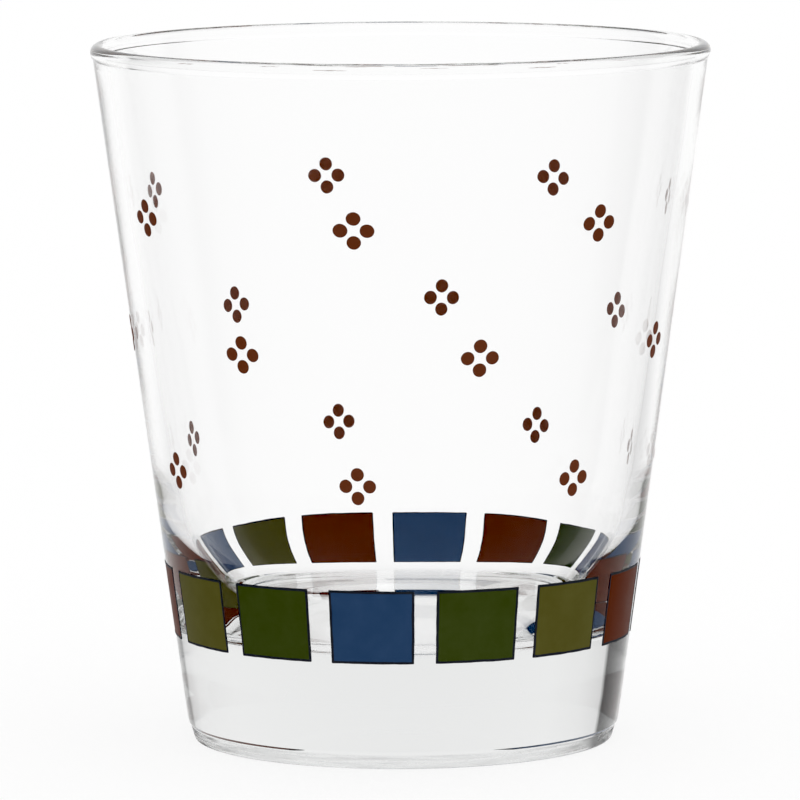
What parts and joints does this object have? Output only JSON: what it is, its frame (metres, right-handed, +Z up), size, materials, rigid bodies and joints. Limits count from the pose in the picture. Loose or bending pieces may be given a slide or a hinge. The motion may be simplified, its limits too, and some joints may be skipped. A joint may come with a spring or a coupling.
{
  "type": "water glass",
  "caption": "Tapered clear glass tumbler with a thick base and rounded lip, decorated outside with a band of square enamel tiles and rows of small enamel dot sprigs; holds a drink.",
  "frame": {"origin": "centre of the base, on the surface the glass stands on", "axes": "+Z up along the glass's axis of turning, towards the mouth; -Y is the side seen in the picture"},
  "size_m": [0.0922, 0.0922, 0.1042],
  "materials": {
    "clear_glass": "clear, fire polished",
    "enamel_blue": "glossy fired enamel",
    "enamel_green": "glossy fired enamel",
    "enamel_olive": "glossy fired enamel",
    "enamel_rust": "glossy fired enamel",
    "enamel_outline": "glossy fired enamel",
    "enamel_dots": "glossy fired enamel"
  },
  "bodies": {
    "root": {"glass_body": "clear_glass", "tile_field_01": "enamel_blue", "tile_outline_01": "enamel_outline", "tile_field_02": "enamel_green", "tile_outline_02": "enamel_outline", "tile_field_03": "enamel_olive", "tile_outline_03": "enamel_outline", "tile_field_04": "enamel_rust", "tile_outline_04": "enamel_outline", "tile_field_05": "enamel_blue", "tile_outline_05": "enamel_outline", "tile_field_06": "enamel_green", "tile_outline_06": "enamel_outline", "tile_field_07": "enamel_rust", "tile_outline_07": "enamel_outline", "tile_field_08": "enamel_blue", "tile_outline_08": "enamel_outline", "tile_field_09": "enamel_rust", "tile_outline_09": "enamel_outline", "tile_field_10": "enamel_olive", "tile_outline_10": "enamel_outline", "tile_field_11": "enamel_blue", "tile_outline_11": "enamel_outline", "tile_field_12": "enamel_rust", "tile_outline_12": "enamel_outline", "tile_field_13": "enamel_olive", "tile_outline_13": "enamel_outline", "tile_field_14": "enamel_green", "tile_outline_14": "enamel_outline", "dot_sprig_upper_1": "enamel_dots", "dot_sprig_upper_2": "enamel_dots", "dot_sprig_upper_3": "enamel_dots", "dot_sprig_upper_4": "enamel_dots", "dot_sprig_upper_5": "enamel_dots", "dot_sprig_upper_6": "enamel_dots", "dot_sprig_upper_7": "enamel_dots", "dot_sprig_middle_1": "enamel_dots", "dot_sprig_middle_2": "enamel_dots", "dot_sprig_middle_3": "enamel_dots", "dot_sprig_middle_4": "enamel_dots", "dot_sprig_middle_5": "enamel_dots", "dot_sprig_middle_6": "enamel_dots", "dot_sprig_middle_7": "enamel_dots", "dot_sprig_lower_1": "enamel_dots", "dot_sprig_lower_2": "enamel_dots", "dot_sprig_lower_3": "enamel_dots", "dot_sprig_lower_4": "enamel_dots", "dot_sprig_lower_5": "enamel_dots", "dot_sprig_lower_6": "enamel_dots", "dot_sprig_lower_7": "enamel_dots"}
  },
  "joints": []
}
